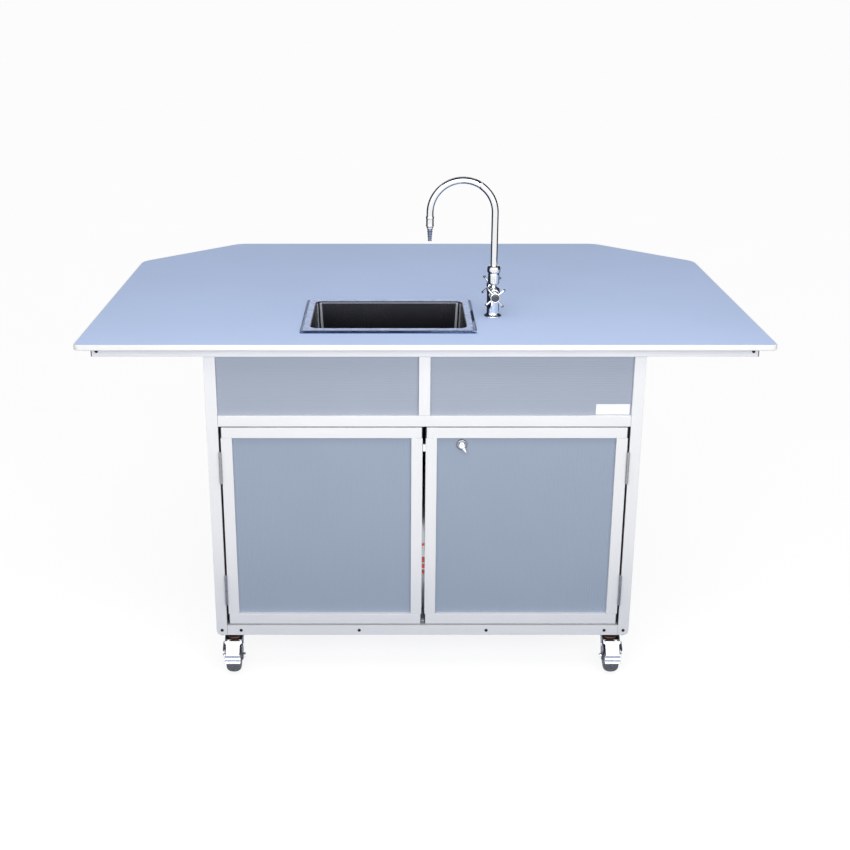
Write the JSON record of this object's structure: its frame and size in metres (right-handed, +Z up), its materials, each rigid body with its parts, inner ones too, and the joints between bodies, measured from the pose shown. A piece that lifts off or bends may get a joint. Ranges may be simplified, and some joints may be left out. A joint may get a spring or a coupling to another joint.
{
  "type": "portable sink cabinet",
  "caption": "Island worktop with clipped rear corners on a rolling square-tube cabinet, with a drop-in basin, a swing gooseneck faucet, hinged doors and water tanks.",
  "frame": {"origin": "on the floor, under the middle of the worktop", "axes": "+X along the worktop to the right as seen from the doors, +Y away from the doors, +Z up"},
  "size_m": [1.524, 1.085, 1.1492],
  "materials": {
    "worktop_laminate": "satin laminate, pale blue",
    "frame_aluminium": "satin anodised tube",
    "panel_plastic": "ribbed twin-wall sheet, grey blue",
    "basin_steel": "polished sheet",
    "faucet_chrome": "polished",
    "latch_chrome": "polished",
    "hinge_zinc": "zinc plated",
    "caster_zinc": "zinc plated",
    "pedal_zinc": "bright plated",
    "tyre_rubber": "matte",
    "tank_plastic": "translucent white",
    "cap_red": "moulded",
    "cap_blue": "moulded",
    "pump_plastic": "moulded",
    "heater_enamel": "enamel",
    "pipe_plastic": "extruded"
  },
  "bodies": {
    "root": {"corner_post_front_left": "frame_aluminium", "caster_plate_front_left": "caster_zinc", "corner_post_rear_left": "frame_aluminium", "caster_plate_rear_left": "caster_zinc", "upper_panel_left": "panel_plastic", "side_panel_left": "panel_plastic", "hinge_upper_left_post_leaf": "hinge_zinc", "hinge_lower_left_post_leaf": "hinge_zinc", "corner_post_front_right": "frame_aluminium", "caster_plate_front_right": "caster_zinc", "corner_post_rear_right": "frame_aluminium", "caster_plate_rear_right": "caster_zinc", "upper_panel_right": "panel_plastic", "side_panel_right": "panel_plastic", "hinge_upper_right_post_leaf": "hinge_zinc", "hinge_lower_right_post_leaf": "hinge_zinc", "worktop": "worktop_laminate", "counter_frame": "frame_aluminium", "mid_post": "frame_aluminium", "mid_rail": "frame_aluminium", "base_frame": "frame_aluminium", "rear_panel": "panel_plastic", "floor_panel": "panel_plastic", "sink_basin": "basin_steel", "sink_drain": "faucet_chrome", "waste_tank": "tank_plastic", "waste_cap": "cap_red", "fresh_tank": "tank_plastic", "fresh_cap": "cap_blue", "pump": "pump_plastic", "water_heater": "heater_enamel", "suction_pipe": "pipe_plastic", "cold_pipe": "pipe_plastic", "hot_pipe": "pipe_plastic", "faucet_body": "faucet_chrome", "spout_nut": "faucet_chrome"},
    "door_left": {"door_left_frame": "frame_aluminium", "door_left_panel": "panel_plastic", "hinge_upper_left_door_leaf": "hinge_zinc", "hinge_lower_left_door_leaf": "hinge_zinc"},
    "door_right": {"door_right_frame": "frame_aluminium", "door_right_panel": "panel_plastic", "hinge_upper_right_door_leaf": "hinge_zinc", "hinge_lower_right_door_leaf": "hinge_zinc", "latch_body": "latch_chrome"},
    "latch": {"latch_lever": "latch_chrome"},
    "spout": {"gooseneck": "faucet_chrome", "nozzle": "faucet_chrome"},
    "valve_front": {"valve_handle_front": "faucet_chrome"},
    "valve_rear": {"valve_handle_rear": "faucet_chrome"},
    "yoke_front_left": {"caster_yoke_front_left": "caster_zinc"},
    "wheel_front_left": {"caster_wheel_front_left": "tyre_rubber"},
    "yoke_rear_left": {"caster_yoke_rear_left": "caster_zinc"},
    "wheel_rear_left": {"caster_wheel_rear_left": "tyre_rubber"},
    "pedal_front_left": {"brake_pedal_front_left": "pedal_zinc"},
    "yoke_front_right": {"caster_yoke_front_right": "caster_zinc"},
    "wheel_front_right": {"caster_wheel_front_right": "tyre_rubber"},
    "yoke_rear_right": {"caster_yoke_rear_right": "caster_zinc"},
    "wheel_rear_right": {"caster_wheel_rear_right": "tyre_rubber"},
    "pedal_front_right": {"brake_pedal_front_right": "pedal_zinc"}
  },
  "joints": [
    {"name": "door_left_swing", "type": "hinge", "parent": "root", "child": "door_left", "pos_m": [-0.4592, -0.506, 0.3738], "axis": [0, 0, -1], "range_deg": [0, 110]},
    {"name": "door_right_swing", "type": "hinge", "parent": "root", "child": "door_right", "pos_m": [0.4592, -0.506, 0.3738], "axis": [0, 0, 1], "range_deg": [0, 110]},
    {"name": "latch_turn", "type": "hinge", "parent": "door_right", "child": "latch", "pos_m": [0.085, -0.4928, 0.579], "axis": [0, 1, 0], "range_deg": [0, 90]},
    {"name": "spout_swing", "type": "hinge", "parent": "root", "child": "spout", "pos_m": [0.162, -0.2977, 0.8255], "axis": [0, 0, 1], "continuous": true},
    {"name": "valve_front_turn", "type": "hinge", "parent": "root", "child": "valve_front", "pos_m": [0.162, -0.3657, 0.8855], "axis": [0, -1, 0], "range_deg": [0, 90]},
    {"name": "valve_rear_turn", "type": "hinge", "parent": "root", "child": "valve_rear", "pos_m": [0.162, -0.2297, 0.8855], "axis": [0, 1, 0], "range_deg": [0, 90]},
    {"name": "caster_front_left_swivel", "type": "hinge", "parent": "root", "child": "yoke_front_left", "pos_m": [-0.45, -0.456, 0], "axis": [0, 0, 1], "continuous": true},
    {"name": "wheel_front_left_spin", "type": "hinge", "parent": "yoke_front_left", "child": "wheel_front_left", "pos_m": [-0.45, -0.486, 0.038], "axis": [1, 0, 0], "continuous": true},
    {"name": "pedal_front_left_release", "type": "hinge", "parent": "yoke_front_left", "child": "pedal_front_left", "pos_m": [-0.45, -0.49, 0.071], "axis": [-1, 0, 0], "range_deg": [0, 15]},
    {"name": "caster_front_right_swivel", "type": "hinge", "parent": "root", "child": "yoke_front_right", "pos_m": [0.45, -0.456, 0], "axis": [0, 0, 1], "continuous": true},
    {"name": "wheel_front_right_spin", "type": "hinge", "parent": "yoke_front_right", "child": "wheel_front_right", "pos_m": [0.45, -0.486, 0.038], "axis": [1, 0, 0], "continuous": true},
    {"name": "pedal_front_right_release", "type": "hinge", "parent": "yoke_front_right", "child": "pedal_front_right", "pos_m": [0.45, -0.49, 0.071], "axis": [-1, 0, 0], "range_deg": [0, 15]},
    {"name": "caster_rear_left_swivel", "type": "hinge", "parent": "root", "child": "yoke_rear_left", "pos_m": [-0.45, 0.214, 0], "axis": [0, 0, 1], "continuous": true},
    {"name": "wheel_rear_left_spin", "type": "hinge", "parent": "yoke_rear_left", "child": "wheel_rear_left", "pos_m": [-0.45, 0.184, 0.038], "axis": [1, 0, 0], "continuous": true},
    {"name": "caster_rear_right_swivel", "type": "hinge", "parent": "root", "child": "yoke_rear_right", "pos_m": [0.45, 0.214, 0], "axis": [0, 0, 1], "continuous": true},
    {"name": "wheel_rear_right_spin", "type": "hinge", "parent": "yoke_rear_right", "child": "wheel_rear_right", "pos_m": [0.45, 0.184, 0.038], "axis": [1, 0, 0], "continuous": true}
  ]
}
